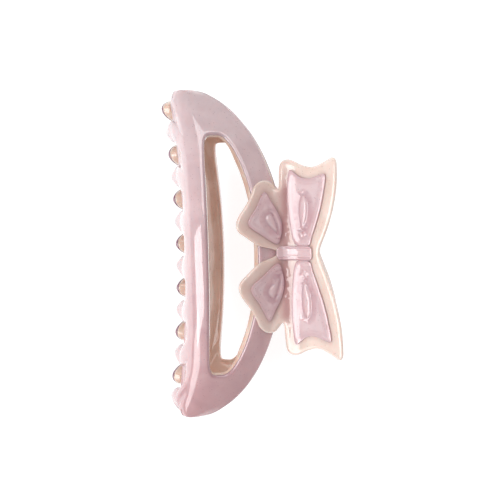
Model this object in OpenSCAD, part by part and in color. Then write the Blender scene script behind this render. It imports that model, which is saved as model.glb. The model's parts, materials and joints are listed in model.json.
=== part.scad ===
// Hair claw clip: two interlocking jaws in two-colour plastic, with a bow-shaped
// thumb tab on each, hinged on a steel pin with a torsion spring.
// Frame: X runs from the teeth to the thumb tabs, Y along the hinge pin, Z up.
// The clip lies on its lower jaw, and the origin is on the surface below its middle.

/* [Clip] */
// Length of the clip along the hinge pin
clip_length = 111; // [100:1:120]
// Depth of each D from its outer edge to the tooth root
jaw_depth = 33; // [30:1:36]
// Rise of the jaw above the line through its edges
jaw_bulge = 27; // [24:1:28]
// Thickness of the jaw wall
wall = 4; // [3.5:0.1:4.4]
// Thickness of the coloured outer layer
glaze = 1; // [0.6:0.1:1.4]

/* [Teeth] */
// Number of teeth on each jaw
tooth_count = 7; // [7:1:7]
// Distance from one tooth to the next
tooth_pitch = 15.1; // [14.8:0.1:15.3]
// Length of a tooth below its root
tooth_length = 8; // [6:0.5:8]
// Width of a tooth at its root
tooth_width = 8.6; // [8:0.1:9]

/* [Cutout] */
// Length of the D-shaped cutout along the jaw
cutout_length = 79; // [70:1:82]

/* [Bow] */
// Thickness of the bow where it lies on the jaw
bow_base = 1.4; // [1:0.1:2]
// Thickness of the thumb tab
tab_thickness = 3; // [2.4:0.1:3.6]
// Slope of the thumb tab above the horizontal
tab_angle = 38; // [34:1:40]
// Height of the coloured wing fields above the bow
inlay_height = 0.7; // [0.4:0.1:1]

/* [Hinge] */
// Diameter of the hinge pin
pin_d = 2; // [1.6:0.1:2.4]
// Radial clearance of the pin in the turning lugs
pin_gap = 0.06; // [0.03:0.01:0.1]
// Diameter of the round end of each lug
lug_d = 6; // [5.4:0.2:6.4]
// Width of each lug along the pin
lug_w = 3.4; // [2.8:0.1:3.4]
// Diameter of the spring wire
wire_d = 1; // [0.8:0.1:1.1]

/* [Hidden] */
$fn = 48;

cream = [0.93, 0.85, 0.80];
mauve = [0.84, 0.74, 0.77];
steel = [0.72, 0.72, 0.74];

// Where the frame's origin lies from the hinge pin
pin_x = 12.33;
pin_z = 24.11;

half = clip_length / 2;
hinge_edge_x = -1;
first_tooth = -tooth_pitch * (tooth_count - 0.5) / 2;

// ---- Surface of a jaw, as sections across it: t is 0 at the hinge edge and 1 at
// the tooth root, and y is the place along the jaw. All are measured from the pin.
function bow_out(y) = max(0, 1 - pow(y / (half + 1), 2));
function d_edge(y) = hinge_edge_x - jaw_depth * (1 - sqrt(max(0, 1 - pow(y / half, 2))));
function corner(y) = let (r = 6, d = abs(y) - (half - r))
    d <= 0 ? 0 : 4 * (1 - sqrt(max(0, 1 - pow(d / r, 2))));
function root_x(y) = -jaw_depth - 1.3 - 4.6 * pow(y / half, 2) + corner(y);
function lean(y) = 0.02 + 0.4 * pow(y / half, 2);
function root_dir(y) = [-lean(y), 0, -1] / norm([lean(y), 0, 1]);
function outer(t, y) =
    let (s = bow_out(y),
         p0 = [d_edge(y), y, 4.5 + 4.5 * s],
         p3 = [root_x(y), y, 4.6 + 0.9 * s],
         p1 = p0 + [-0.31 * (p0.x - p3.x), 0, 0.5 + 8 * s],
         p2 = p3 - root_dir(y) * (3 + jaw_bulge * s))
    pow(1 - t, 3) * p0 + 3 * t * pow(1 - t, 2) * p1 + 3 * t * t * (1 - t) * p2 + pow(t, 3) * p3;

// Direction out of the surface, and a point at a depth below it
step = 0.004;
function out_dir(t, y) =
    let (y1 = min(max(y, 0.6 - half), half - 0.6),
         a = outer(t + step, y1) - outer(t - step, y1),
         b = outer(t, y1 + 0.2) - outer(t, y1 - 0.2),
         n = cross(b, a))
    n / norm(n);
function below(t, y, depth) = outer(t, y) - depth * out_dir(t, y);

// Teeth: a row of blunt bells along the root, which flare out from the bar
tooth_flare = 0.6;
tooth_dir = [-tooth_flare, 0, -1] / norm([tooth_flare, 0, 1]);
function tooth_shape(y) =
    let (k = min(tooth_count - 1, max(0, round((y - first_tooth) / tooth_pitch))),
         d = abs(y - first_tooth - k * tooth_pitch))
    pow(max(0.004, 1 - pow(2 * d / tooth_width, 2.2)), 0.6);

// ---- Ring of ribs round the cutout. A rib runs from the cutout's edge to the rim.
arch_ribs = 26;
bar_ribs = 74;
ribs = arch_ribs + bar_ribs;
across = 5;
cut_t = 0.389;
rim_y = half - 0.25;
function rib_rim(i) = i < arch_ribs
    ? [0, rim_y * sin(-90 + 180 * i / arch_ribs)]
    : [1, rim_y * (1 - 2 * (i - arch_ribs) / bar_ribs)];
function rib_cut(i) =
    let (rim = rib_rim(i),
         v = pow(abs(rim.y) / rim_y, 0.92),
         y = sign(rim.y) * v * cutout_length / 2)
    i < arch_ribs
    ? [cut_t - 0.182 * pow(max(0, 1 - pow(v, 2.9)), 1 / 2.9), y]
    : [cut_t + 0.185 * pow(max(0, 1 - pow(v, 4.6)), 1 / 4.6), y];
// Point of a rib: k runs from 0 at the cutout to `across` at the tooth root, and
// `across + 1` is the end of the teeth. Ribs on the arch stop at its rim.
function rib_point(i, k, depth) =
    let (rim = rib_rim(i),
         cut = rib_cut(i),
         arch = i <= arch_ribs && i > 0,
         f = arch ? k / (across + 1) : min(1, k / across),
         p = cut + (rim - cut) * f,
         reach = k > across && !arch ? tooth_length * tooth_shape(rim.y) : 0)
    below(p.x, p.y, depth * (abs(p.y) > half - 4 ? 0.8 : 1)) + reach * tooth_dir;

// Closed ring between two depths below the outer surface
module jaw_layer(top, bottom) {
    m = 2 * (across + 2);
    points = [for (i = [0:ribs - 1]) each concat(
        [for (k = [0:across + 1]) rib_point(i, k, top)],
        [for (k = [across + 1:-1:0]) rib_point(i, k, bottom)])];
    faces = [for (i = [0:ribs - 1], j = [0:m - 1])
        let (a = i * m + j,
             b = i * m + (j + 1) % m,
             c = ((i + 1) % ribs) * m + (j + 1) % m,
             d = ((i + 1) % ribs) * m + j)
        each (j <= across ? [[a, c, b], [a, d, c]] : [[a, d, b], [b, d, c]])];
    polyhedron(points = points, faces = faces, convexity = 8);
}

// ---- Hinge lugs: each jaw has two, and the other jaw's sit beside them
lug_ys = [-12.3, 7.9];
function lug_profile(r) = [[-0.9 * r, -0.4 * r], [-6.2, 7.6], [-3.4, 5.7], [-1.2, 6.3], [0.97 * r, 0.2 * r]];

module on_y(y0, y1) {
    translate([0, y1, 0]) rotate([90, 0, 0]) linear_extrude(height = y1 - y0) children();
}

module lugs(bore) {
    for (y = lug_ys) {
        difference() {
            on_y(y - lug_w / 2, y + lug_w / 2) {
                circle(d = lug_d);
                polygon(lug_profile(lug_d / 2));
            }
            on_y(y - lug_w, y + lug_w) circle(d = bore);
        }
    }
}

// ---- Bow: its half outline as places along y, measured from the middle of the bow
bow_shift = 0.8;
// The wings droop a little towards -Y, and those on that side flare and run longer
function droop(p) = [p.x + 0.04 * max(0, -p.y),
    p.y - 0.8 * min(1, abs(p.y) / 8) - 0.08 * max(0, -p.y - 10) - 0.02 * max(0, p.y - 10) + bow_shift];
back_edge = [[0, 10.4], [4, 11.5], [8.5, 13.2], [13, 14.6], [18, 15.6], [24, 16.2], [31, 16.2]];
front_edge = [[0, -4.4], [1.8, -5.8], [3.6, -9], [6, -12.6], [8.2, -14.9], [10.4, -15.5],
              [12.4, -14.9], [15.8, -12.9], [19.2, -11.2], [21.8, -10.4], [23.2, -9.4], [24.1, -7.4],
              [24.5, -3], [26, -2.1], [29, -2], [31, -1]];
wing_top = [[-2.1, 29.2], [-0.6, 30.6], [1.6, 30.7], [5, 29], [8.6, 28.2], [12, 29.3], [14.8, 30.6], [16.2, 29.6]];
back_field = [[7.2, 2.6], [9.4, 8.8], [11.4, 15.4], [12.3, 21], [12.6, 25.6], [10.2, 25.5],
              [7.2, 24.6], [3.6, 25.6], [1.2, 27], [0.9, 17], [1.2, 9.5], [2.6, 3.1]];
front_field = [[-6.8, 20.6], [-9.6, 14.8], [-11.7, 10], [-7.6, 6.2], [-3.8, 3.4], [-3.2, 8],
               [-3.4, 13], [-4.4, 17]];

// Height of the jaw's outer surface over a place on the plan
function t_at(x, y, low = 0, high = 0.9, n = 14) =
    n == 0 ? (low + high) / 2
    : let (m = (low + high) / 2)
      outer(m, y).x > x ? t_at(x, y, m, high, n - 1) : t_at(x, y, low, m, n - 1);
function arch_z(x, y) = outer(x >= d_edge(y) ? 0 : t_at(x, y), y).z;

// Height of the bow's upper face at the thumb tab, which bends up at the hinge
bend_x = 0.6;
bend_z = 11;
tab_far = 17;
function tab_z(x) = bend_z + max(0, x - bend_x) * tan(tab_angle);

// Patch that lies on the arch, between two heights over its outer surface
module over_arch(low, high) {
    nt = 8;
    ny = 24;
    near_t = 0.06;
    far_t = 0.42;
    side_y = 23;
    function at(i, j, h) = below(near_t + (far_t - near_t) * i / nt, side_y * (2 * j / ny - 1), -h);
    function id(i, j) = i * (ny + 1) + j;
    m = (nt + 1) * (ny + 1);
    points = concat([for (i = [0:nt], j = [0:ny]) at(i, j, high)],
                    [for (i = [0:nt], j = [0:ny]) at(i, j, low)]);
    top = [for (i = [0:nt - 1], j = [0:ny - 1])
        each [[id(i, j), id(i + 1, j + 1), id(i, j + 1)], [id(i, j), id(i + 1, j), id(i + 1, j + 1)]]];
    rim = concat([for (j = [0:ny - 1]) id(0, j)],
                 [for (i = [0:nt - 1]) id(i, ny)],
                 [for (j = [ny:-1:1]) id(nt, j)],
                 [for (i = [nt:-1:1]) id(i, 0)]);
    sides = [for (i = [0:len(rim) - 1])
        let (a = rim[i], b = rim[(i + 1) % len(rim)])
        each [[a, m + b, m + a], [a, b, m + b]]];
    bottom = [for (f = top) [f[0] + m, f[2] + m, f[1] + m]];
    polyhedron(points = points, faces = concat(top, sides, bottom), convexity = 6);
}

// Band of the thumb tab, between two heights over its upper face
module over_tab(low, high) {
    c = cos(tab_angle);
    xs = [-3, bend_x, tab_far];
    function lift(x, h) = [x, tab_z(x) + h / (x > bend_x ? c : 1)];
    on_y(-36, 36) polygon(concat([for (x = xs) lift(x, low)],
                                 [for (i = [2:-1:0]) lift(xs[i], high)]));
}

// Bow plate: one sheet that lies on the arch and bends up into the tab
module bow_plate() {
    cols = 16;
    inner_rows = 15;
    top_rows = 3;
    rows = inner_rows + top_rows;
    straight_y = 24.5;
    row_ys = [0, 1.8, 3.6, 6, 8.2, 10.4, 12.4, 14, 15.8, 17.5, 19.2, 20.6, 21.8, 23.2, 24.1, 24.5];
    function half_y(x, j) = j <= inner_rows ? row_ys[j]
        : straight_y + (lookup(x, wing_top) - straight_y) * (j - inner_rows) / top_rows;
    function place(i, j) =
        let (r = abs(j),
             y0 = r <= inner_rows ? row_ys[r] : straight_y + (r - inner_rows) * 2,
             x0 = lookup(y0, front_edge),
             x = x0 + (lookup(y0, back_edge) - x0) * i / cols)
        droop([x, sign(j) * half_y(x, r)]);
    function upper_z(p) = p.x > bend_x ? tab_z(p.x)
        : max(tab_z(p.x), p.x < d_edge(p.y) ? arch_z(p.x, p.y) + bow_base / cos(35) : 0);
    function lower_z(p) = p.x < d_edge(p.y) + 0.8 ? arch_z(p.x, p.y)
        : tab_z(p.x) - (p.x > bend_x + 0.5 ? tab_thickness / cos(tab_angle) : tab_thickness - 0.6);
    n = 2 * rows + 1;
    function id(i, j) = i * n + j + rows;
    m = (cols + 1) * n;
    spots = [for (i = [0:cols], j = [-rows:rows]) place(i, j)];
    points = concat([for (p = spots) [p.x, p.y, upper_z(p)]], [for (p = spots) [p.x, p.y, lower_z(p)]]);
    top = [for (i = [0:cols - 1], j = [-rows:rows - 1])
        each [[id(i, j), id(i, j + 1), id(i + 1, j + 1)], [id(i, j), id(i + 1, j + 1), id(i + 1, j)]]];
    rim = concat([for (j = [-rows:rows - 1]) id(0, j)],
                 [for (i = [0:cols - 1]) id(i, rows)],
                 [for (j = [rows:-1:1 - rows]) id(cols, j)],
                 [for (i = [cols:-1:1]) id(i, -rows)]);
    sides = [for (i = [0:len(rim) - 1])
        let (a = rim[i], b = rim[(i + 1) % len(rim)])
        each [[a, m + a, m + b], [a, m + b, b]]];
    bottom = [for (f = top) [f[0] + m, f[2] + m, f[1] + m]];
    polyhedron(points = points, faces = concat(top, sides, bottom), convexity = 8);
}

module wing_field(outline, side) {
    intersection() {
        linear_extrude(height = 40) polygon([for (p = outline) droop([p.x, side * p.y])]);
        children();
    }
}
// The fields lie a bond line above the plate
bond = 0.27;
module front_wing(side) wing_field(front_field, side) over_arch(bow_base + bond, bow_base + inlay_height);
module back_wing(side) wing_field(back_field, side) over_tab(bond, inlay_height);

module bow_knot() {
    knot_x = [-1.4, 8];
    knot_w = 4.4;
    intersection() {
        translate([knot_x[0], bow_shift - knot_w / 2, 0]) cube([knot_x[1] - knot_x[0], knot_w, 40]);
        over_tab(0.3, 2);
    }
}

// ---- Placing: the upper jaw as drawn, and the lower one turned over about X. The lower
// bow is the upper one's mirror image, so that the wings lie over each other.
module upper() translate([pin_x, 0, pin_z]) children();
module lower() translate([pin_x, 0, pin_z]) rotate([180, 0, 0]) children();
module lower_bow() translate([pin_x, 0, pin_z]) mirror([0, 0, 1]) children();

pin_bore = pin_d + 2 * pin_gap;
module upper_jaw_core() color(cream) upper() jaw_layer(glaze, wall);
module lower_jaw_core() color(cream) lower() jaw_layer(glaze, wall);
module upper_hinge_lugs() color(cream) upper() lugs(pin_bore);
module lower_hinge_lugs() color(cream) lower() lugs(pin_d);
module upper_jaw_glaze() color(mauve) upper() jaw_layer(0, glaze);
module lower_jaw_glaze() color(mauve) lower() jaw_layer(0, glaze);
module upper_bow_plate() color(cream) upper() bow_plate();
module lower_bow_plate() color(cream) lower_bow() bow_plate();
module upper_bow_knot() color(mauve) upper() bow_knot();
module lower_bow_knot() color(mauve) lower_bow() bow_knot();
module upper_wing_front_left() color(mauve) upper() front_wing(1);
module upper_wing_front_right() color(mauve) upper() front_wing(-1);
module upper_wing_back_left() color(mauve) upper() back_wing(1);
module upper_wing_back_right() color(mauve) upper() back_wing(-1);
module lower_wing_front_left() color(mauve) lower_bow() front_wing(1);
module lower_wing_front_right() color(mauve) lower_bow() front_wing(-1);
module lower_wing_back_left() color(mauve) lower_bow() back_wing(1);
module lower_wing_back_right() color(mauve) lower_bow() back_wing(-1);

// Steel pin, with a low head at each end
module hinge_pin() color(steel) upper() {
    reach = 14.4;
    on_y(-reach, reach) circle(d = pin_d);
    for (side = [-1, 1])
        translate([0, side * (reach + 0.3), 0]) rotate([90, 0, 0]) cylinder(d = 1.5 * pin_d, h = 0.8, center = true);
}

// Torsion spring: its coil round the pin, and a leg to the underside of each tab
module torsion_spring() color(steel) upper() {
    coil_w = 7.6;
    coil_r = pin_d / 2 + 0.4 + wire_d / 2;
    leg_angle = 58;
    leg = 8.6;
    difference() {
        on_y(-coil_w / 2, coil_w / 2) circle(r = coil_r + wire_d / 2);
        on_y(-coil_w, coil_w) circle(r = coil_r - wire_d / 2);
    }
    for (side = [-1, 1])
        translate([0, side * (coil_w - wire_d) / 2, 0]) scale([1, 1, side])
            rotate([0, -leg_angle, 0]) translate([0, 0, coil_r]) rotate([0, 90, 0])
                cylinder(d = wire_d, h = leg);
}

lower_jaw_core();
lower_jaw_glaze();
lower_hinge_lugs();
lower_bow_plate();
lower_bow_knot();
lower_wing_front_left();
lower_wing_front_right();
lower_wing_back_left();
lower_wing_back_right();
upper_jaw_core();
upper_jaw_glaze();
upper_hinge_lugs();
upper_bow_plate();
upper_bow_knot();
upper_wing_front_left();
upper_wing_front_right();
upper_wing_back_left();
upper_wing_back_right();
hinge_pin();
torsion_spring();
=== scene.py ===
# A large hair claw clip in two-colour acetate, lying on its lower jaw. Two like jaws, each with
# seven teeth and a bow-shaped thumb tab, turn on a steel pin against a torsion spring.
import json
import math
import bpy
import numpy as np
from mathutils import Matrix, Vector
from mathutils.geometry import delaunay_2d_cdt


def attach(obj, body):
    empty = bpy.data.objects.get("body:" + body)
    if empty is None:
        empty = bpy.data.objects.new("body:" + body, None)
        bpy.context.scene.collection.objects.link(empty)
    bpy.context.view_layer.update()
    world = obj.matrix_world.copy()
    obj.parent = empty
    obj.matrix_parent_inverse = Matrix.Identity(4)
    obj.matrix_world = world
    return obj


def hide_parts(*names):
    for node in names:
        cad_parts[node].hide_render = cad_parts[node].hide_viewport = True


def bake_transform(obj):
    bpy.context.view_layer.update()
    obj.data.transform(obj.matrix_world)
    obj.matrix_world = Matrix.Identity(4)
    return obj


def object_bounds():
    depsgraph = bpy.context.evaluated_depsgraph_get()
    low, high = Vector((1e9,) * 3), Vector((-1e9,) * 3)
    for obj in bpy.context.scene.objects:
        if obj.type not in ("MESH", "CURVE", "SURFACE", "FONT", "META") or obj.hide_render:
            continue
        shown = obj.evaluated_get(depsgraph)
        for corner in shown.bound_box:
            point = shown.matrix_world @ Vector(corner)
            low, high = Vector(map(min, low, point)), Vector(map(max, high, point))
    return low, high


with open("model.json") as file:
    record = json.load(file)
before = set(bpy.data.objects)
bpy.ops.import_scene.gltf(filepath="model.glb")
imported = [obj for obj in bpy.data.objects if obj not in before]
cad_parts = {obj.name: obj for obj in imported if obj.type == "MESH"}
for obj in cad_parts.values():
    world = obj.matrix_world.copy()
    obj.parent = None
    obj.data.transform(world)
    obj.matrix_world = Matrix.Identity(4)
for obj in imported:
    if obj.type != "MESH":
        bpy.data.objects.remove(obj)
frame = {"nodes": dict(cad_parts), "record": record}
cad_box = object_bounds()
pin = np.array(frame["record"]["behaviour"]["joints"][0]["pos_m"])
mm = 0.001

# ---------------------------------------------------------------- Paper, camera and lights
# The clip lies on white paper and is seen from almost straight above, from a little to the
# side of the thumb tabs. Two windows stand at the teeth side, a soft light hangs from the
# ceiling past the +Y end, and the room is bright.
lowest, highest = (Vector(corner) for corner in cad_box)


def linear(hex_colour):
    """sRGB hex to the linear values that a shader takes."""
    parts = [int(hex_colour[i:i + 2], 16) / 255 for i in (1, 3, 5)]
    return tuple(p / 12.92 if p <= 0.04045 else ((p + 0.055) / 1.055) ** 2.4 for p in parts) + (1.0,)


def add(tree, kind, settings=None, links=None):
    """A node with its sockets or properties set and its inputs linked."""
    node = tree.nodes.new(kind)
    for key, value in (settings or {}).items():
        if isinstance(key, int) or key in node.inputs:
            node.inputs[key].default_value = value
        else:
            setattr(node, key, value)
    for key, socket in (links or {}).items():
        tree.links.new(socket, node.inputs[key])
    return node


def new_material(name):
    material = bpy.data.materials.new(name)
    material.use_nodes = True
    tree = material.node_tree
    return material, tree, tree.nodes["Principled BSDF"]


def matte_paper():
    """Coated white paper, calendered smooth: flat and even, with a very faint fibre mottle."""
    material, tree, shader = new_material("matte_white_paper")
    place = add(tree, "ShaderNodeTexCoord")
    mottle_mm = 16.7
    mottle = add(tree, "ShaderNodeTexNoise", {"Scale": 1 / (mottle_mm * mm), "Detail": 4.0},
                 {"Vector": place.outputs["Object"]})
    tone = add(tree, "ShaderNodeValToRGB", links={"Fac": mottle.outputs["Fac"]})
    tone.color_ramp.elements[0].color = linear("#A0A0A0")
    tone.color_ramp.elements[1].color = linear("#A6A6A6")
    tree.links.new(tone.outputs["Color"], shader.inputs["Base Color"])
    shader.inputs["Emission Color"].default_value = linear("#FFFFFF")
    shader.inputs["Emission Strength"].default_value = 0.8
    shader.inputs["Roughness"].default_value = 0.8
    shader.inputs["Specular IOR Level"].default_value = 0.1
    return material


paper_size = 1.6
paper_gap = 0.2 * mm
bpy.ops.mesh.primitive_plane_add(size=paper_size, location=(0, 0, lowest.z - paper_gap))
paper = bpy.context.object
paper.name = "paper"
paper.data.materials.append(matte_paper())

camera_distance = 0.255
camera_lean_x = math.radians(5.0)
camera_lean_y = math.radians(3.2)
camera_roll = math.radians(-1.3)
aim = Vector(pin) + Vector((-12.9, 1.2, 1.1)) * mm
towards = Vector((math.sin(camera_lean_x) * math.cos(camera_lean_y), math.sin(camera_lean_y),
                  math.cos(camera_lean_x) * math.cos(camera_lean_y)))
right = Vector((math.cos(camera_lean_x), 0, -math.sin(camera_lean_x)))
up = towards.cross(right)
turned_right = right * math.cos(camera_roll) + up * math.sin(camera_roll)
turned_up = up * math.cos(camera_roll) - right * math.sin(camera_roll)
turn = Matrix((turned_right, turned_up, towards)).transposed().to_4x4()
camera_data = bpy.data.cameras.new("camera")
camera_data.lens = 54.2
camera_data.clip_start = 0.01
camera = bpy.data.objects.new("camera", camera_data)
camera.matrix_world = Matrix.Translation(aim + towards * camera_distance) @ turn
bpy.context.scene.collection.objects.link(camera)
bpy.context.scene.camera = camera
bpy.context.scene.view_settings.view_transform = "Standard"


def area_light(name, place, target, size, power):
    data = bpy.data.lights.new(name, "AREA")
    data.shape = "RECTANGLE"
    data.size, data.size_y = size
    data.energy = power
    light = bpy.data.objects.new(name, data)
    light.location = place
    light.rotation_euler = (Vector(target) - Vector(place)).to_track_quat("-Z", "Y").to_euler()
    bpy.context.scene.collection.objects.link(light)


area_light("window", (-0.34, -0.10, 0.36), (0, 0, 0.02), (0.34, 0.34), 1.3)
area_light("side_window", (-0.355, -0.30, 0.21), (0, 0, 0.02), (0.24, 0.20), 0.34)
area_light("ceiling", (0.10, 0.45, 0.65), (0, 0, 0), (0.6, 0.6), 2.3)
world = bpy.data.worlds.new("bright_room")
world.use_nodes = True
world.node_tree.nodes["Background"].inputs["Color"].default_value = linear("#FFFDFB")
world.node_tree.nodes["Background"].inputs["Strength"].default_value = 0.46
bpy.context.scene.world = world

# ---------------------------------------------------------------- Jaws: core and glaze
# Each jaw is moulded in two shots of acetate: a cream core with the teeth, and a mauve pearl
# skin 1 mm thick over its outer face, and its edges are tumbled round. Sizes are millimetres
# from the hinge pin, and the lower jaw's core and glaze are the upper ones turned over about X.
rim_inset = 0.25
half = (highest.y - lowest.y) / 2 / mm + rim_inset
jaw_depth = 33.0
edge_z, edge_crown = 4.5, 4.5
edge_lift, edge_lift_crown, edge_pull = 0.5, 8, 0.31
root_z, root_crown = 4.6, 0.9
root_past, root_curve = 1.3, 4.6
root_lean, root_lean_end = 0.02, 0.4
corner_run, corner_cut = 6, 4
end_bulge, jaw_bulge = 3, 27.0
wall = 4.0
end_thinning, thinning_run = 0.28, 9
glaze = 1.0
inner_round = 0.9
tooth_count = 7
tooth_pitch = 15.1
tooth_length = 8.0
tooth_width = 8.6
tooth_flare = 0.6
tooth_dir = np.array([-tooth_flare, 0, -1]) / math.hypot(tooth_flare, 1)
first_tooth = -tooth_pitch * (tooth_count - 0.5) / 2
swell_height, swell_level, swell_run = 2.1, 0.45, 6.5
cutout_half = 39.5


def unit(v):
    return v / np.linalg.norm(v, axis=-1, keepdims=True)


def smooth(x):
    x = np.clip(x, 0, 1)
    return x * x * (3 - 2 * x)


def root_dir(y):
    """The way the wall runs down at the tooth root: it leans out more towards the ends."""
    lean = root_lean + root_lean_end * (y / half) ** 2
    return unit(np.stack([-lean, 0 * lean, -1 + 0 * lean], -1))


def outer(t, y):
    """The jaw's outer face: t is 0 at the hinge edge and 1 at the tooth root."""
    t, y = np.broadcast_arrays(np.asarray(t, float), np.asarray(y, float))
    crown = np.clip(1 - (y / (half + 1)) ** 2, 0, None)
    edge = -1 - jaw_depth * (1 - np.sqrt(np.clip(1 - (y / half) ** 2, 0, None)))
    near_end = np.clip((np.abs(y) - half + corner_run) / corner_run, 0, 1)
    corner = corner_cut * (1 - np.sqrt(1 - near_end ** 2))
    root = -jaw_depth - root_past - root_curve * (y / half) ** 2 + corner
    p0 = np.stack([edge, y, edge_z + edge_crown * crown], -1)
    p3 = np.stack([root, y, root_z + root_crown * crown], -1)
    p1 = p0 + np.stack([-edge_pull * (edge - root), 0 * y, edge_lift + edge_lift_crown * crown], -1)
    p2 = p3 - root_dir(y) * (end_bulge + jaw_bulge * crown)[..., None]
    t = t[..., None]
    return (1 - t) ** 3 * p0 + 3 * t * (1 - t) ** 2 * p1 + 3 * t * t * (1 - t) * p2 + t ** 3 * p3


def out_dir(t, y):
    """The outer face's normal."""
    y = np.clip(y, 0.8 - half, half - 0.8)
    across = outer(t + 0.004, y) - outer(t - 0.004, y)
    along = outer(t, y + 0.3) - outer(t, y - 0.3)
    return unit(np.cross(along, across))


def tooth_reach(y):
    """How far the tooth edge reaches past the root: round bells, with a hair's breadth between."""
    k = np.clip(np.round((y - first_tooth) / tooth_pitch), 0, tooth_count - 1)
    d = np.abs(y - first_tooth - k * tooth_pitch)
    return tooth_length * np.clip(1 - (2 * d / tooth_width) ** 2.2, 0.004, None) ** 0.6


def jaw_ribs():
    """Ribs round the cutout, each as its rim place and its cutout place in (t, y)."""
    rim_y = half - rim_inset
    cut_t = 0.389
    last_angle, angle_share = 89, 0.9

    def cut(side, v):
        spread = (-0.182, 2.9) if side == "arch" else (0.185, 4.6)
        return cut_t + spread[0] * (1 - v ** spread[1]) ** (1 / spread[1])

    rows = []
    for a in np.radians(np.linspace(-last_angle, last_angle, 130)):
        v = abs(math.sin(a * angle_share))
        rows.append((0.0, rim_y * math.sin(a), cut("arch", v), math.copysign(v, a) * cutout_half, 0))
    shaded_end_tint = np.linspace(0, 1, 18)[1:-1]
    v_arch, v_bar = math.sin(math.radians(last_angle * angle_share)), 0.97

    def end_rows(sign, order):
        for w in order:
            side = "arch" if w < 0.5 else "bar"
            v = 1 - ((1 - v_arch) * (1 - 2 * w) ** 2 if w < 0.5 else (1 - v_bar) * (2 * w - 1) ** 2)
            rows.append((w, sign * rim_y, cut(side, v), sign * v * cutout_half, 0))

    end_rows(1, shaded_end_tint)
    for y in np.linspace(rim_y, -rim_y, 340):
        v = v_bar * (abs(y) / rim_y) ** 0.92
        rows.append((1.0, y, cut("bar", v), math.copysign(v, y) * cutout_half, 1))
    end_rows(-1, shaded_end_tint[::-1])
    return np.array(rows)


def jaw_grid(surface_loops=27):
    """Points and normals of the outer face between its rounded edges, and of both edges."""
    rows = jaw_ribs()
    rim_t, rim_y, cut_t, cut_y, toothed = rows.T
    reach = tooth_reach(rim_y) * toothed
    tip = outer(rim_t, rim_y) + tooth_dir * reach[:, None]
    tip_n = out_dir(rim_t, rim_y)
    brink = outer(cut_t, cut_y)
    brink_n = out_dir(cut_t, cut_y)

    def inward(loop, normals, sign):
        run = unit(np.roll(loop, -2, 0) + np.roll(loop, -1, 0) - np.roll(loop, 1, 0) - np.roll(loop, 2, 0))
        return sign * unit(np.cross(normals, run))

    tip_in = inward(tip, tip_n, 1)
    brink_in = inward(brink, brink_n, -1)
    steps = np.linspace(0, 1, 80)
    edge_fade = 2.4
    points, normals = [], []
    for i in range(len(rows)):
        t = rim_t[i] + (cut_t[i] - rim_t[i]) * steps
        y = rim_y[i] + (cut_y[i] - rim_y[i]) * steps
        path = np.vstack([tip[i], outer(t, y)])
        facing = np.vstack([tip_n[i], out_dir(t, y)])
        run = np.concatenate([[0], np.cumsum(np.linalg.norm(np.diff(path, axis=0), axis=1))])
        at = np.linspace(glaze, run[-1] - glaze, surface_loops)
        p = np.stack([np.interp(at, run, path[:, c]) for c in range(3)], -1)
        n = np.stack([np.interp(at, run, facing[:, c]) for c in range(3)], -1)
        start = tip[i] + glaze * tip_in[i] - p[0]
        stop = brink[i] + glaze * brink_in[i] - p[-1]
        fade = np.exp(-(at - at[0]) / edge_fade)[:, None]
        p = p + start * fade + stop * fade[::-1]
        swell = swell_height * (reach[i] / tooth_length - swell_level) * toothed[i]
        swell = swell * smooth((half - 3 - abs(rim_y[i])) / 4)
        p = p + n * (swell * np.exp(-((at - reach[i]) / swell_run) ** 2) * np.clip(at / 3, 0, 1))[:, None]
        points.append(p)
        normals.append(unit(n))
    return dict(points=np.array(points), normals=np.array(normals), tip=tip, tip_n=tip_n, tip_in=tip_in,
                brink=brink, brink_n=brink_n, brink_in=brink_in, y=rim_y, toothed=toothed)


def rounded_edge(point, inward, normal, radius, from_depth, turn_from, turn_to, count, sign=1):
    """Loops of a quarter-round edge: the angle is 0 on the face and 90 on the wall."""
    loops = []
    for angle in np.radians(np.linspace(turn_from, turn_to, count)):
        inset = radius * (1 - math.sin(angle))
        depth = from_depth + sign * radius * (1 - math.cos(angle))
        loops.append(point + inward * inset - normal * depth)
    return loops


def ring_mesh(name, loops, shade_and_show_through=None):
    """Closed mesh from loops that each run once round the cutout, with a tint of painted shade for each
    point.
    """
    grid = np.array(loops)
    rows, cols = grid.shape[:2]
    faces = [(r * cols + c, r * cols + (c + 1) % cols, ((r + 1) % rows) * cols + (c + 1) % cols,
              ((r + 1) % rows) * cols + c) for r in range(rows) for c in range(cols)]
    mesh = bpy.data.meshes.new(name)
    mesh.from_pydata((pin + grid.reshape(-1, 3) * mm).tolist(), [], faces)
    mesh.shade_smooth()
    mesh.update()
    if shade_and_show_through is not None:
        mesh.attributes.new("shade_and_show_through", "FLOAT", "POINT").data.foreach_set("value", np.ravel(shade_and_show_through))
    return mesh


def flipped(loops):
    """The loops turned half a turn about X."""
    return [loop * np.array([1, -1, -1]) for loop in loops]


def link(name, mesh, material, body, node):
    """A piece that rides on a body and stands in for a CAD node."""
    piece = bpy.data.objects.new(name, mesh)
    bpy.context.scene.collection.objects.link(piece)
    mesh.materials.append(material)
    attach(piece, body)
    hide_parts(node)


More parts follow.
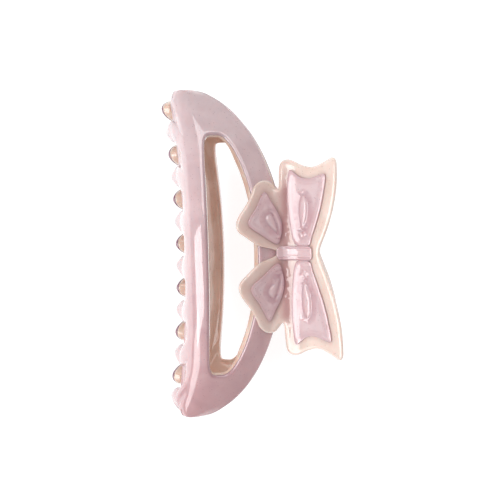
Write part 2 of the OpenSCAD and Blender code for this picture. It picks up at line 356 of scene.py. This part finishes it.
def pearl_acetate(name, light, dark, speck, shade_and_show_through_tint=None, shaded_end_tint=None, coat_ior=1.65):
    """Moulded and tumbled acetate with mica: glossy, softly clouded, with fine dark grains. The
    grains are drawn a little coarser than real mica, so that they show."""
    material, tree, shader = new_material(name)
    place = add(tree, "ShaderNodeTexCoord")
    cloud_mm, speck_mm, ripple_mm = 9.0, 0.9, 6
    cloud = add(tree, "ShaderNodeTexNoise", {"Scale": 1 / (cloud_mm * mm), "Detail": 3.0, "Roughness": 0.55,
                                             "Distortion": 0.6}, {"Vector": place.outputs["Object"]})
    tone = add(tree, "ShaderNodeValToRGB", links={"Fac": cloud.outputs["Fac"]})
    tone.color_ramp.elements[0].position, tone.color_ramp.elements[1].position = 0.35, 0.68
    tone.color_ramp.elements[0].color = linear(dark)
    tone.color_ramp.elements[1].color = linear(light)
    grains = add(tree, "ShaderNodeTexVoronoi", {"Scale": 1 / (speck_mm * mm)},
                 {"Vector": place.outputs["Object"]})
    grain = add(tree, "ShaderNodeValToRGB", links={"Fac": grains.outputs["Distance"]})
    grain.color_ramp.elements[0].position, grain.color_ramp.elements[1].position = 0.11, 0.19
    grain.color_ramp.elements[0].color = (1, 1, 1, 1)
    grain.color_ramp.elements[1].color = (0, 0, 0, 1)
    pick = add(tree, "ShaderNodeTexWhiteNoise", {"noise_dimensions": "3D"},
               {"Vector": grains.outputs["Color"]})
    few = add(tree, "ShaderNodeMath", {"operation": "GREATER_THAN", 1: 0.5})
    tree.links.new(pick.outputs["Value"], few.inputs[0])
    mask = add(tree, "ShaderNodeMath", {"operation": "MULTIPLY"})
    tree.links.new(grain.outputs["Color"], mask.inputs[0])
    tree.links.new(few.outputs["Value"], mask.inputs[1])
    faint = add(tree, "ShaderNodeMath", {"operation": "MULTIPLY", 1: 0.6})
    tree.links.new(mask.outputs["Value"], faint.inputs[0])
    colour = add(tree, "ShaderNodeMix", {"data_type": "RGBA"})
    colour.inputs[7].default_value = linear(speck)
    tree.links.new(faint.outputs["Value"], colour.inputs[0])
    below = tone.outputs["Color"]
    # Painted shade: the colour is multiplied darker towards the -Y end, as if less light reaches that end.
    if shaded_end_tint:
        along = add(tree, "ShaderNodeSeparateXYZ", links={"Vector": place.outputs["Object"]})
        share = add(tree, "ShaderNodeMapRange", {"From Min": half * mm, "From Max": -half * mm},
                    {"Value": along.outputs["Y"]})
        end_shade = add(tree, "ShaderNodeMix", {"data_type": "RGBA", "blend_type": "MULTIPLY", 7: linear(shaded_end_tint)},
                     {0: share.outputs["Result"], 6: below})
        below = end_shade.outputs[2]
    # Mixed towards a darker tint by a value stored at each point: painted shade, and on the bow also the
    # mauve showing through the cream.
    if shade_and_show_through_tint:
        amount = add(tree, "ShaderNodeAttribute", {"attribute_name": "shade_and_show_through"})
        shade_mixed = add(tree, "ShaderNodeMix", {"data_type": "RGBA", 7: linear(shade_and_show_through_tint)},
                      {0: amount.outputs["Fac"], 6: below})
        below = shade_mixed.outputs[2]
    tree.links.new(below, colour.inputs[6])
    tree.links.new(colour.outputs[2], shader.inputs["Base Color"])
    ripple = add(tree, "ShaderNodeTexNoise", {"Scale": 1 / (ripple_mm * mm), "Detail": 1.0},
                 {"Vector": place.outputs["Object"]})
    bump = add(tree, "ShaderNodeBump", {"Strength": 0.3, "Distance": 0.4 * mm},
               {"Height": ripple.outputs["Fac"]})
    tree.links.new(bump.outputs["Normal"], shader.inputs["Normal"])
    shader.inputs["Roughness"].default_value = 0.16
    shader.inputs["IOR"].default_value = 1.48
    shader.inputs["Coat Weight"].default_value = 0.9
    shader.inputs["Coat IOR"].default_value = coat_ior
    shader.inputs["Coat Roughness"].default_value = 0.04
    shader.inputs["Subsurface Weight"].default_value = 0.35
    shader.inputs["Subsurface Radius"].default_value = (2.4, 1.2, 1.0)
    shader.inputs["Subsurface Scale"].default_value = 0.8 * mm
    return material


# The jaw glaze carries painted shade on its rounded rims and towards the -Y end.
mauve_pearl = pearl_acetate("moulded_mauve_pearl_acetate", "#DDC8CB", "#D2BABE", "#8E6F78", shade_and_show_through_tint="#80566A",
                            shaded_end_tint="#E9CBCD", coat_ior=1.85)
cream_core = pearl_acetate("moulded_cream_acetate", "#EBD0C2", "#DFBEAD", "#B08C78")

grid = jaw_grid()
end_share = smooth((np.abs(grid["y"]) - half + thinning_run) / thinning_run)
thin = wall * (1 - end_thinning * end_share)[:, None]
tip, tip_in, tip_n = grid["tip"], grid["tip_in"], grid["tip_n"]
brink, brink_in, brink_n = grid["brink"], grid["brink_in"], grid["brink_n"]
surface = [grid["points"][:, k] for k in range(grid["points"].shape[1])]
facing = [grid["normals"][:, k] for k in range(grid["normals"].shape[1])]

edge_loops = 7
glaze_loops = rounded_edge(tip, tip_in, tip_n, glaze, 0, 90, 12, edge_loops)
glaze_loops += surface
glaze_loops += rounded_edge(brink, brink_in, brink_n, glaze, 0, 12, 90, edge_loops)
glaze_loops += [p - glaze * n for p, n in zip(surface[::-3], facing[::-3])]

under = [p - thin * n for p, n in zip(surface[::-1], facing[::-1])]
wall_steps = np.linspace(0, 1, 5)[:, None, None] * (thin - glaze - inner_round) + glaze
core_loops = [tip - tip_n * d for d in wall_steps]
core_loops += rounded_edge(tip, tip_in, tip_n, inner_round, thin, 80, 10, 6, sign=-1)
core_loops += under[::-1]
core_loops += rounded_edge(brink, brink_in, brink_n, inner_round, thin, 10, 80, 6, sign=-1)
core_loops += [brink - brink_n * d for d in wall_steps[::-1]]
core_loops += [p - glaze * n for p, n in zip(surface[::-3], facing[::-3])]

# Painted shade: the mauve is darkened along the skin's rounded rims, most of all at the tooth ends, and less
# round the cutout.
rim_shade_fall = np.array([1, 1, 0.95, 0.85, 0.7, 0.5, 0.3, 0.1])
tooth_shade_fall = np.linspace(0.5, 0, 10)
least_rim_shade, brink_shade = 0.6, 0.4
on_tooth = smooth((tooth_reach(grid["y"]) * grid["toothed"] - 1) / 3)
rim_shade = least_rim_shade + (1 - least_rim_shade) * on_tooth
glaze_shade = np.zeros((len(glaze_loops), len(rim_shade)))
glaze_shade[edge_loops:edge_loops + len(tooth_shade_fall)] = tooth_shade_fall[:, None] * (rim_shade - least_rim_shade)
glaze_shade[:len(rim_shade_fall)] = rim_shade_fall[:, None] * rim_shade
brink_end = edge_loops + len(surface) + edge_loops
glaze_shade[brink_end - len(rim_shade_fall):brink_end] = brink_shade * rim_shade_fall[::-1, None]

for side, turned in (("upper", lambda loops: loops), ("lower", flipped)):
    body = side + "_jaw"
    glaze_mesh = ring_mesh(side + "_glaze", turned(glaze_loops), glaze_shade)
    core_mesh = ring_mesh(side + "_core", turned(core_loops))
    link(side + "_glaze", glaze_mesh, mauve_pearl, body, side + "_jaw_glaze")
    link(side + "_core", core_mesh, cream_core, body, side + "_jaw_core")

# ---------------------------------------------------------------- Hinge lugs and pin
# Two lugs under each arch carry the pin. The lugs are moulded in the core's cream acetate, and
# the pin is drawn steel wire with its ends headed over.


def drawn_steel(name, tone_light, tone_dark):
    """Drawn steel wire: bright but not mirror-like. Its drawing lines are far finer than the
    0.25 mm they have here, so that they show."""
    material, tree, shader = new_material(name)
    place = add(tree, "ShaderNodeTexCoord")
    line_mm = 0.25
    lines = add(tree, "ShaderNodeTexNoise", {"Scale": 1 / (line_mm * mm), "Detail": 2.0},
                {"Vector": place.outputs["Object"]})
    tone = add(tree, "ShaderNodeValToRGB", links={"Fac": lines.outputs["Fac"]})
    tone.color_ramp.elements[0].color = linear(tone_dark)
    tone.color_ramp.elements[1].color = linear(tone_light)
    tree.links.new(tone.outputs["Color"], shader.inputs["Base Color"])
    shader.inputs["Metallic"].default_value = 1.0
    shader.inputs["Roughness"].default_value = 0.28
    return material


steel = drawn_steel("drawn_steel_wire", "#D2D3D6", "#A9AAAE")
for node in ("upper_hinge_lugs", "lower_hinge_lugs"):
    frame["nodes"][node].data.materials.clear()
    frame["nodes"][node].data.materials.append(cream_core)
frame["nodes"]["hinge_pin"].data.materials.clear()
frame["nodes"]["hinge_pin"].data.materials.append(steel)

# ---------------------------------------------------------------- Torsion spring
# Music wire wound round the pin between the lugs. One leg pushes on the underside of each
# thumb tab, so the coil winds up as the tabs are pinched.
wire_radius = 0.5
coil_radius = 1.9
coil_half = 3.3
coil_turns = 6
leg_angle = math.radians(58)
leg_length = 8.4


def spring_path():
    leg = np.array([math.cos(leg_angle), 0, math.sin(leg_angle)])
    first, last = math.radians(270) - leg_angle, math.radians(90) + leg_angle - 2 * math.pi * coil_turns
    angles = np.linspace(first, last, 48 * coil_turns)
    share = np.linspace(-1, 1, len(angles))
    coil = np.stack([coil_radius * np.cos(angles), coil_half * share, coil_radius * np.sin(angles)], -1)
    out = np.linspace(0.06, 1, 14)[:, None] * leg_length
    lower_leg = coil[0] + out * leg * np.array([1, 1, -1])
    upper_leg = coil[-1] + out * leg
    return np.vstack([lower_leg[::-1], coil, upper_leg])


def wire_mesh(name, path, radius, sides=12):
    """Round wire along a path, with domed ends."""
    run = unit(np.gradient(path, axis=0))
    side = unit(np.cross(run, np.array([0.02, 1.0, 0.03])))
    other = np.cross(run, side)
    rings = []
    dome = [(0.0, 0.02), (0.3, 0.7), (0.65, 0.94)]
    for share, size in dome:
        rings.append((path[0] - run[0] * radius * (1 - share), side[0], other[0], size))
    rings += [(path[i], side[i], other[i], 1.0) for i in range(len(path))]
    for share, size in dome[::-1]:
        rings.append((path[-1] + run[-1] * radius * (1 - share), side[-1], other[-1], size))
    points = []
    for centre, u, v, size in rings:
        for k in range(sides):
            turn = 2 * math.pi * k / sides
            points.append(centre + radius * size * (u * math.cos(turn) + v * math.sin(turn)))
    faces = [(r * sides + k, r * sides + (k + 1) % sides, (r + 1) * sides + (k + 1) % sides,
              (r + 1) * sides + k) for r in range(len(rings) - 1) for k in range(sides)]
    faces.append(tuple(range(sides))[::-1])
    faces.append(tuple((len(rings) - 1) * sides + k for k in range(sides)))
    mesh = bpy.data.meshes.new(name)
    mesh.from_pydata((pin + np.array(points) * mm).tolist(), [], faces)
    mesh.shade_smooth()
    return mesh


spring_mesh = wire_mesh("torsion_spring_wire", spring_path(), wire_radius)
spring = bpy.data.objects.new("torsion_spring_wire", spring_mesh)
bpy.context.scene.collection.objects.link(spring)
spring.data.materials.append(steel)
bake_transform(spring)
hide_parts("torsion_spring")

# ---------------------------------------------------------------- Bow plates
# The bow is one cream acetate moulding: its front half is bonded over the jaw's arch, and its
# back half bends up as the thumb tab. Its edges are soft, and a groove runs round each coloured
# field. The lower bow is the upper one mirrored.
bow_y = 0.8
bow_rise, bow_thick = 1.8, 1.95
tab_thick = 3.0
bend_x, bend_z = 0.6, 11.0
bend_soft, fold_soft = 1.3, 0.9
tab_angle = math.radians(38)
wing_start_x, wing_start_y = -3.2, 22
plate_half = [(10.5, 0), (10.9, 2.4), (12.2, 6), (13.7, 10.5), (15.1, 16), (16.0, 22), (16.15, 27.5),
              (15.9, 30), (14.7, 30.9), (12.6, 29.8), (8.8, 28.3), (5.2, 29.2), (1.8, 31), (-0.6, 31),
              (-1.9, 29.4), (-2.2, 26), (-2.3, 22.4), (-2.7, 21.4), (-3.4, 22), (-5.4, 24.2), (-8, 24.4),
              (-10.2, 22.4), (-11.1, 19.6), (-12.7, 16.2), (-14.8, 12.8), (-15.6, 10.2), (-14.9, 7.9),
              (-12.8, 6.0), (-10.6, 4.0), (-8.6, 2.6), (-6.2, 1.8), (-4.2, 1.1), (-2.9, 0)]
back_field = [(7.1, 2.3), (8.2, 5.5), (9.5, 9.5), (11.1, 15), (12.2, 20.5), (12.7, 25.6), (10.4, 25.5),
              (7.6, 24.7), (4.6, 25.4), (1.6, 27.9), (0.7, 26.4), (0.4, 22), (0.5, 16), (1.1, 9.8),
              (2.6, 2.9)]
front_field = [(-6.9, 20.9), (-9.4, 15.6), (-11.9, 10.3), (-7.8, 6.4), (-3.0, 2.9), (-1.5, 6.2),
               (-1.3, 10), (-2.6, 14), (-4.5, 17.4)]


def curve_through(points, per_span=14, tension=0.5):
    """Smooth closed curve through given points."""
    p = np.array(points, float)
    n = len(p)
    out = []
    for i in range(n):
        a, b, c, d = (p[(i + k) % n] for k in (-1, 0, 1, 2))
        for s in np.linspace(0, 1, per_span, endpoint=False):
            m0, m1 = tension * (c - a), tension * (d - b)
            out.append((2 * s ** 3 - 3 * s ** 2 + 1) * b + (s ** 3 - 2 * s ** 2 + s) * m0
                       + (3 * s ** 2 - 2 * s ** 3) * c + (s ** 3 - s ** 2) * m1)
    return np.array(out)


def evened(loop, spacing):
    """The same closed curve with its points an even distance apart."""
    closed = np.vstack([loop, loop[:1]])
    run = np.concatenate([[0], np.cumsum(np.linalg.norm(np.diff(closed, axis=0), axis=1))])
    at = np.linspace(0, run[-1], max(12, int(run[-1] / spacing)), endpoint=False)
    return np.stack([np.interp(at, run, closed[:, c]) for c in range(2)], -1)


def softened(loop, passes):
    """The closed curve with its sharpest turns eased."""
    for _ in range(passes):
        loop = (np.roll(loop, 1, 0) + 2 * loop + np.roll(loop, -1, 0)) / 4
    return loop


def anticlockwise(loop):
    x, y = loop.T
    area = np.sum(x * np.roll(y, -1) - y * np.roll(x, -1))
    return loop if area > 0 else loop[::-1]


def mirrored_outline(half_outline):
    """A whole outline from the half on the +Y side."""
    other = [(x, -y) for x, y in half_outline[-2:0:-1]]
    return half_outline + other


def placed(points):
    """Bow points on the plan. The wings droop a little towards -Y, and those on that side flare."""
    x, y = np.array(points, float).T
    low = np.clip(-y, 0, None)
    droop = 0.8 * np.clip(np.abs(y) / 8, 0, 1) + 0.08 * np.clip(low - 10, 0, None)
    droop = droop + 0.02 * np.clip(y - 10, 0, None)
    return np.column_stack([x + 0.04 * low, y - droop + bow_y])


def signed_distance(points, loop):
    """Distance of places on the plan from a closed curve, negative inside it."""
    a, b = loop, np.roll(loop, -1, 0)
    edge = b - a
    out = np.empty(len(points))
    for i, p in enumerate(points):
        s = np.clip(np.sum((p - a) * edge, 1) / np.sum(edge * edge, 1), 0, 1)
        gap = np.min(np.linalg.norm(p - a - edge * s[:, None], axis=1))
        crosses = (a[:, 1] > p[1]) != (b[:, 1] > p[1])
        x = a[:, 0] + (p[1] - a[:, 1]) * edge[:, 0] / np.where(edge[:, 1] == 0, 1e-9, edge[:, 1])
        inside = np.sum(crosses & (p[0] < x)) % 2 == 1
        out[i] = -gap if inside else gap
    return out


bow_reach_x, bow_reach_y = (-19, 0.5), 27
height_ys = np.linspace(-bow_reach_y, bow_reach_y, 109)
height_xs = np.linspace(*bow_reach_x, 118)
height_rows = []
for row_y in height_ys:
    row = outer(np.linspace(0, 0.75, 200), row_y)[::-1]
    height_rows.append(np.interp(height_xs, row[:, 0], row[:, 2]))
height_rows = np.array(height_rows)


def arch_height(x, y):
    """Height of the jaw's outer face over places on the plan."""
    gx = np.clip((x - height_xs[0]) / (height_xs[1] - height_xs[0]), 0, len(height_xs) - 1.001)
    gy = np.clip((y - height_ys[0]) / (height_ys[1] - height_ys[0]), 0, len(height_ys) - 1.001)
    i, j = gx.astype(int), gy.astype(int)
    fx, fy = gx - i, gy - j
    h = height_rows
    return ((h[j, i] * (1 - fx) + h[j, i + 1] * fx) * (1 - fy)
            + (h[j + 1, i] * (1 - fx) + h[j + 1, i + 1] * fx) * fy)


def bow_height(x, y):
    """Height of the bow's upper face: over the arch, then bent up along the tab."""
    on_arch = arch_height(x, y) + bow_rise
    tab = bend_z + bend_soft * np.log1p(np.exp((x - bend_x - 0.5) / bend_soft)) * math.tan(tab_angle)
    beyond = smooth((np.abs(y - bow_y) - wing_start_y - 0.5) / 1.5) * (x > wing_start_x)
    on_arch = on_arch * (1 - beyond) + beyond * (tab - 2)
    peak = np.maximum(on_arch, tab)
    return peak + fold_soft * np.log1p(np.exp(-np.abs(on_arch - tab) / fold_soft)) * 0.35


def slab(name, loop, top, bottom, radius, spacing, shade_and_show_through, extra=(), under_radius=None):
    """A plate between two heights over the plan, with quarter-round edges and a fine top."""
    under_radius = radius if under_radius is None else under_radius
    run = np.roll(loop, -1, 0) - np.roll(loop, 1, 0)
    inward = unit(np.stack([-run[:, 1], run[:, 0]], -1))
    angles = np.radians(np.linspace(0, 90, 7))
    levels = [(radius * (1 - math.sin(a)), radius * (1 - math.cos(a)), "top") for a in angles]
    levels += [(under_radius * (1 - math.sin(a)), under_radius * (1 - math.cos(a)), "bottom")
               for a in angles[::-1]]
    rings = []
    for inset, drop, face in levels:
        plan = loop + inward * inset
        z = top(plan) - drop if face == "top" else bottom(plan) + drop
        rings.append(np.column_stack([plan, z]))

    def cap(ring_plan, heights):
        low, high = ring_plan.min(0), ring_plan.max(0)
        gx, gy = np.meshgrid(np.arange(low[0], high[0], spacing), np.arange(low[1], high[1], spacing * 0.87))
        gx[1::2] += spacing / 2
        spots = np.column_stack([gx.ravel(), gy.ravel()])
        for curve in extra:
            gap = signed_distance(spots, curve[::3])
            spots = spots[np.abs(gap) > spacing * 0.7]
            spots = np.vstack([spots, curve])
        spots = spots[signed_distance(spots, ring_plan) < -0.4 * spacing]
        verts = [Vector(p) for p in np.vstack([ring_plan, spots])]
        n = len(ring_plan)
        edges = [(i, (i + 1) % n) for i in range(n)]
        flat, _, faces, _, _, _ = delaunay_2d_cdt(verts, edges, [tuple(range(n))], 1, 1e-6)
        flat = np.array([tuple(v) for v in flat])
        return flat, heights(flat), [tuple(f) for f in faces]

    n = len(loop)
    top_plan, top_z, top_faces = cap(rings[0][:, :2], top)
    low_plan, low_z, low_faces = cap(rings[-1][:, :2], bottom)
    points = [np.column_stack([top_plan, top_z])]
    start = len(top_plan)
    points += rings[1:-1]
    faces = list(top_faces)
    ids = [np.arange(n)] + [start + k * n + np.arange(n) for k in range(len(rings) - 2)]
    low_start = start + (len(rings) - 2) * n
    points.append(np.column_stack([low_plan, low_z]))
    ids.append(low_start + np.arange(n))
    for a, b in zip(ids[:-1], ids[1:]):
        faces += [(a[i], b[i], b[(i + 1) % n], a[(i + 1) % n]) for i in range(n)]
    faces += [tuple(low_start + v for v in f[::-1]) for f in low_faces]
    mesh = bpy.data.meshes.new(name)
    points = np.vstack(points)
    mesh.from_pydata(points.tolist(), [], [tuple(int(v) for v in f) for f in faces])
    mesh.shade_smooth()
    mesh.attributes.new("shade_and_show_through", "FLOAT", "POINT").data.foreach_set("value", shade_and_show_through(points[:, :2]))
    return mesh


def jaw_copy(mesh, side):
    """The mesh in the frame's metres, as drawn for the upper jaw or mirrored for the lower."""
    copy = mesh.copy()
    co = np.empty(len(copy.vertices) * 3)
    copy.vertices.foreach_get("co", co)
    co = co.reshape(-1, 3)
    if side == "lower":
        co = co * np.array([1, 1, -1])
        copy.flip_normals()
    copy.vertices.foreach_set("co", (pin + co * mm).ravel())
    copy.update()
    return copy


def outline(points, spacing, side=None, passes=2):
    """A closed outline on the plan: on both sides of the bow, or on the side given."""
    points = mirrored_outline(points) if side is None else [(x, side * y) for x, y in points]
    plan = placed(points)
    return anticlockwise(softened(evened(curve_through(plan), spacing), passes))


def grown(loop, distance):
    """The outline moved outwards by a distance."""
    run = np.roll(loop, -1, 0) - np.roll(loop, 1, 0)
    return loop - unit(np.stack([-run[:, 1], run[:, 0]], -1)) * distance


fields = {(half_name, side): outline(points, 0.45, side)
          for half_name, points in (("front", front_field), ("back", back_field)) for side in (1, -1)}
groove_depth, groove_width = 0.3, 0.32


def plate_top(plan):
    z = bow_height(plan[:, 0], plan[:, 1])
    for loop in fields.values():
        near = np.all((plan > loop.min(0) - 1.5) & (plan < loop.max(0) + 1.5), axis=1)
        gap = signed_distance(plan[near], loop[::2])
        z[near] -= groove_depth * np.exp(-(gap / groove_width) ** 2)
    return z


def plate_bottom(plan):
    x, y = plan.T
    edge = -1 - jaw_depth * (1 - np.sqrt(1 - (np.clip(y, -40, 40) / half) ** 2))
    beyond = smooth((np.abs(y - bow_y) - wing_start_y) / 1.5) * (x > wing_start_x)
    on_tab = np.maximum(smooth((x - edge + 0.3) / 2.2), beyond)
    return bow_height(x, y) - bow_thick - (tab_thick / math.cos(tab_angle) - bow_thick) * on_tab


grooves = [grown(loop, step) for loop in fields.values() for step in (0.35, 0.0)]


def plate_shade_and_show_through(plan):
    """How far the plate is tinted dark pink: over the arch, the mauve below showing through together with
    painted shade; in the fold's valley and the grooves round the fields, painted shade; less near the
    plate's edge.
    """
    x, y = plan.T
    thin = 0.2 * smooth((bend_x + 1.2 - x) / 2.5)
    thin += 0.55 * np.exp(-((x - bend_x + 0.9) / 2.2) ** 2) * (1 - smooth((np.abs(y - bow_y) - 20) / 6))
    edge = signed_distance(plan, bow_outline[::2])
    thin *= smooth((-edge + 0.4) / 2.6) * 0.75 + 0.25
    for loop in fields.values():
        thin += 0.25 * np.exp(-((signed_distance(plan, loop[::2])) / 0.7) ** 2)
    return np.clip(thin, 0, 1)


# The bow's dark pink tint is partly the mauve under the cream and partly painted shade.
cream_bow = pearl_acetate("moulded_cream_acetate_over_mauve", "#EEDBD2", "#E6CFC4", "#B08C78",
                          shade_and_show_through_tint="#A3666C")
bow_outline = outline(plate_half, 0.4)
plate = slab("bow_plate", bow_outline, plate_top, plate_bottom, 1.2, 0.8, plate_shade_and_show_through, grooves, 0.7)
for side in ("upper", "lower"):
    mesh = jaw_copy(plate, side)
    mesh.name = side + "_bow"
    link(side + "_bow", mesh, cream_bow, side + "_jaw", side + "_bow_plate")

# ---------------------------------------------------------------- Wing fields
# Each wing of the bow is filled with mauve enamel that stands a little over the cream, with a
# bead along its border and a teardrop in relief: a low rim, a moat and a raised drop.
field_height, field_depth = 0.42, 0.35
field_names = {("front", 1): "front_left", ("front", -1): "front_right",
               ("back", 1): "back_left", ("back", -1): "back_right"}
back_drop = [(5.6, 20.4), (3.9, 18.4), (3.3, 14.4), (3.8, 9.8), (5.0, 5.4), (6.4, 8.8), (7.7, 13.6),
             (7.4, 18.2)]
front_drop = [(-5.2, 14.4), (-7.0, 13.2), (-7.2, 10.8), (-5.0, 8.0), (-2.4, 5.4), (-1.9, 7.4),
              (-2.7, 11.0), (-3.9, 13.6)]
# The enamel's darker tint is painted shade in the hollows of the fields and the knot.
mauve_enamel = pearl_acetate("poured_mauve_pearl_enamel", "#E2C7CA", "#DABCC0", "#8E6F78",
                             shade_and_show_through_tint="#BA8C95")
drops = {("front", side): outline(front_drop, 0.3, side) for side in (1, -1)}
drops.update({("back", side): outline(back_drop, 0.3, side) for side in (1, -1)})


def field_top(key):
    """Height of the enamel: a bead inside the border, then the drop's rim, its moat and its crown."""
    border, drop = fields[key], drops[key]

    def top(plan):
        gap = signed_distance(plan, border[::2])
        inside = signed_distance(plan, drop[::2])
        z = bow_height(plan[:, 0], plan[:, 1]) + field_height
        z += 0.13 * np.exp(-((gap + 1.15) / 0.4) ** 2)
        z += 0.20 * np.exp(-(inside / 0.34) ** 2)
        z -= 0.28 * smooth((-inside - 0.25) / 0.35) * (1 - smooth((-inside - 0.85) / 0.4))
        z += 0.26 * smooth((-inside - 0.9) / 0.8)
        return z
    return top


def field_hollow_shade(key):
    """Painted shade in the hollows: along the field's edge, inside the bead, in the moat round the drop and
    at the foot of its rim.
    """
    border, drop = fields[key], drops[key]

    def shade_and_show_through(plan):
        gap = signed_distance(plan, border[::2])
        inside = signed_distance(plan, drop[::2])
        hollow_shade = 0.55 * np.exp(-((gap + 0.2) / 0.35) ** 2) + 0.3 * np.exp(-((gap + 1.8) / 0.4) ** 2)
        hollow_shade += 0.7 * np.exp(-((inside + 0.7) / 0.4) ** 2) + 0.5 * np.exp(-((inside - 0.55) / 0.35) ** 2)
        return np.clip(hollow_shade, 0, 1)
    return shade_and_show_through


def field_bottom(plan):
    return bow_height(plan[:, 0], plan[:, 1]) - field_depth


for key, name in field_names.items():
    rings = [grown(drops[key], step) for step in (0.3, 0.0, -0.3, -0.6, -0.95, -1.3)]
    rings += [grown(fields[key], step) for step in (-0.85, -1.15, -1.5)]
    border = grown(fields[key], -0.12)
    field = slab(name, border, field_top(key), field_bottom, 0.3, 0.5, field_hollow_shade(key), rings, 0.05)
    for side in ("upper", "lower"):
        mesh = jaw_copy(field, side)
        mesh.name = side + "_wing_" + name
        link(side + "_wing_fill_" + name, mesh, mauve_enamel, side + "_jaw",
             side + "_wing_" + name)

# ---------------------------------------------------------------- Bow knots
# The knot is a band of the same mauve enamel across the bow's waist, with two ribs along each
# side of it. It is poured over the cream and sinks a little into it.
knot_half_outline = [(8.0, 0), (7.9, 1.5), (7.0, 2.3), (3, 2.35), (-0.6, 2.3), (-2.4, 2.1), (-3.2, 1.2),
                     (-3.3, 0)]
knot_height, knot_depth = 1.1, 0.3
knot_half_width = 2.3
rib_height, rib_width = 0.18, 0.22


def knot_top(plan):
    x, y = plan[:, 0], plan[:, 1] - bow_y
    z = bow_height(x, plan[:, 1]) + knot_height * (1 - 0.18 * (y / knot_half_width) ** 2)
    for rib_y in (1.15, 1.95):
        z += rib_height * np.exp(-((np.abs(y) - rib_y) / rib_width) ** 2)
    return z


def knot_bottom(plan):
    return bow_height(plan[:, 0], plan[:, 1]) - knot_depth


def knot_hollow_shade(plan):
    """Painted shade: between the ribs, and along the knot's foot."""
    y = np.abs(plan[:, 1] - bow_y)
    between = 0.7 * np.exp(-((y - 1.55) / 0.2) ** 2)
    foot = 0.6 * np.exp(-((y - knot_half_width) / 0.3) ** 2)
    return np.clip(between + foot, 0, 1)


knot_outline = outline(knot_half_outline, 0.3, passes=1)
knot = slab("knot", knot_outline, knot_top, knot_bottom, 0.5, 0.3, knot_hollow_shade, (), 0.05)
for side in ("upper", "lower"):
    mesh = jaw_copy(knot, side)
    mesh.name = side + "_knot"
    link(side + "_knot", mesh, mauve_enamel, side + "_jaw", side + "_bow_knot")
